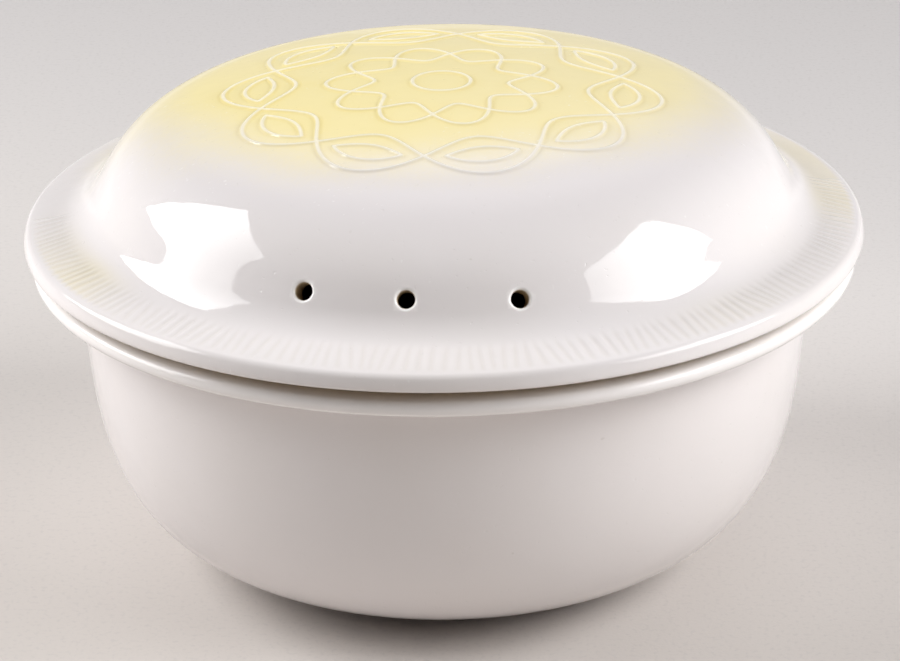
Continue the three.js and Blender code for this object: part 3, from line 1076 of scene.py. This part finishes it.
def standing(place, azimuth_deg, elevation_deg, roll_deg):
    """Pose of a camera or lamp at this place, its back turned to this direction."""
    back = direction(azimuth_deg, elevation_deg)
    right = direction(azimuth_deg + 90, 0)
    up = back.cross(right)
    roll = math.radians(roll_deg)
    rolled_right = right * math.cos(roll) + up * math.sin(roll)
    rolled_up = up * math.cos(roll) - right * math.sin(roll)
    axes = Matrix((rolled_right, rolled_up, back)).transposed().to_4x4()
    return Matrix.Translation(place) @ axes


def map_range(node, ends):
    """Sets what a Map Range node maps, and to what."""
    for name, value in zip(("From Min", "From Max", "To Min", "To Max"), ends):
        node.inputs[name].default_value = value


def shade_softbox(lamp):
    lamp.use_nodes = True
    nodes, links = lamp.node_tree.nodes, lamp.node_tree.links
    place = nodes.new("ShaderNodeSeparateXYZ")
    shade = nodes.new("ShaderNodeMapRange")
    map_range(shade, SOFTBOX_ENDS + SOFTBOX_STRENGTHS)
    links.new(nodes.new("ShaderNodeNewGeometry").outputs["Position"], place.inputs["Vector"])
    links.new(place.outputs["Y"], shade.inputs["Value"])
    links.new(shade.outputs["Result"], nodes["Emission"].inputs["Strength"])


def make_lights():
    for name, box in SOFTBOXES.items():
        lamp = bpy.data.lights.new(name, "AREA")
        lamp.shape = "RECTANGLE"
        lamp.size, lamp.size_y = box["size"]
        lamp.energy = box["power"]
        shade_softbox(lamp)
        light = bpy.data.objects.new(name, lamp)
        azimuth, elevation = box["towards"]
        aim = Vector((0, 0, SOFTBOX_AIM_HEIGHT))
        place = aim + direction(CAMERA_AZIMUTH_DEG + azimuth, elevation) * SOFTBOX_DISTANCE
        azimuth, elevation, roll = box["facing"]
        light.matrix_world = standing(place, CAMERA_AZIMUTH_DEG + azimuth, elevation, roll)
        light.visible_camera = False
        light.visible_glossy = not box["dull"]
        bpy.context.scene.collection.objects.link(light)


def make_world():
    """Faint warm light from all round. The camera sees a pale backdrop instead, and gloss its low part."""
    world = bpy.data.worlds.new("studio")
    world.use_nodes = True
    nodes, links = world.node_tree.nodes, world.node_tree.links

    def join(operation, first, second):
        made = nodes.new("ShaderNodeMath")
        made.operation = operation
        links.new(first, made.inputs[0])
        links.new(second, made.inputs[1])
        return made.outputs[0]

    around = nodes["Background"]
    around.inputs["Color"].default_value = (*WORLD_COLOR, 1)
    around.inputs["Strength"].default_value = WORLD_STRENGTH
    backdrop = nodes.new("ShaderNodeBackground")
    backdrop.inputs["Color"].default_value = (*BACKDROP, 1)
    mixed = nodes.new("ShaderNodeMixShader")
    split = nodes.new("ShaderNodeSeparateXYZ")
    links.new(nodes.new("ShaderNodeTexCoord").outputs["Generated"], split.inputs[0])
    low = nodes.new("ShaderNodeMapRange")
    low.interpolation_type = "SMOOTHSTEP"
    links.new(split.outputs["Z"], low.inputs["Value"])
    map_range(low, BACKDROP_RISE)
    rays = nodes.new("ShaderNodeLightPath").outputs
    mirrored = join("MAXIMUM", rays["Is Glossy Ray"], rays["Is Transmission Ray"])
    seen = join("MAXIMUM", rays["Is Camera Ray"], join("MULTIPLY", low.outputs["Result"], mirrored))
    links.new(seen, mixed.inputs["Fac"])
    links.new(around.outputs["Background"], mixed.inputs[1])
    links.new(backdrop.outputs["Background"], mixed.inputs[2])
    links.new(mixed.outputs["Shader"], nodes["World Output"].inputs["Surface"])
    bpy.context.scene.world = world


def make_camera():
    data = bpy.data.cameras.new("camera")
    data.sensor_width = CAMERA_SENSOR_MM
    data.lens = CAMERA_LENS_MM
    camera = bpy.data.objects.new("camera", data)
    aim = direction(CAMERA_AZIMUTH_DEG + 90, 0) * CAMERA_AIM_RIGHT + Vector((0, 0, CAMERA_AIM_HEIGHT))
    place = aim + direction(CAMERA_AZIMUTH_DEG, CAMERA_ELEVATION_DEG) * CAMERA_DISTANCE
    camera.matrix_world = standing(place, CAMERA_AZIMUTH_DEG, CAMERA_ELEVATION_DEG, CAMERA_ROLL_DEG)
    bpy.context.scene.collection.objects.link(camera)
    bpy.context.scene.camera = camera


def dress(obj, material, body, node):
    obj.data.materials.clear()
    obj.data.materials.append(material)
    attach(obj, body)
    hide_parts(node)


make_camera()
make_floor()
make_lights()
make_world()
dress(make_bowl(), bowl_material(), "bowl", "bowl")
dress(make_lid(), lid_material(), "lid", "lid")

scene = bpy.context.scene
scene.view_settings.view_transform = "Standard"
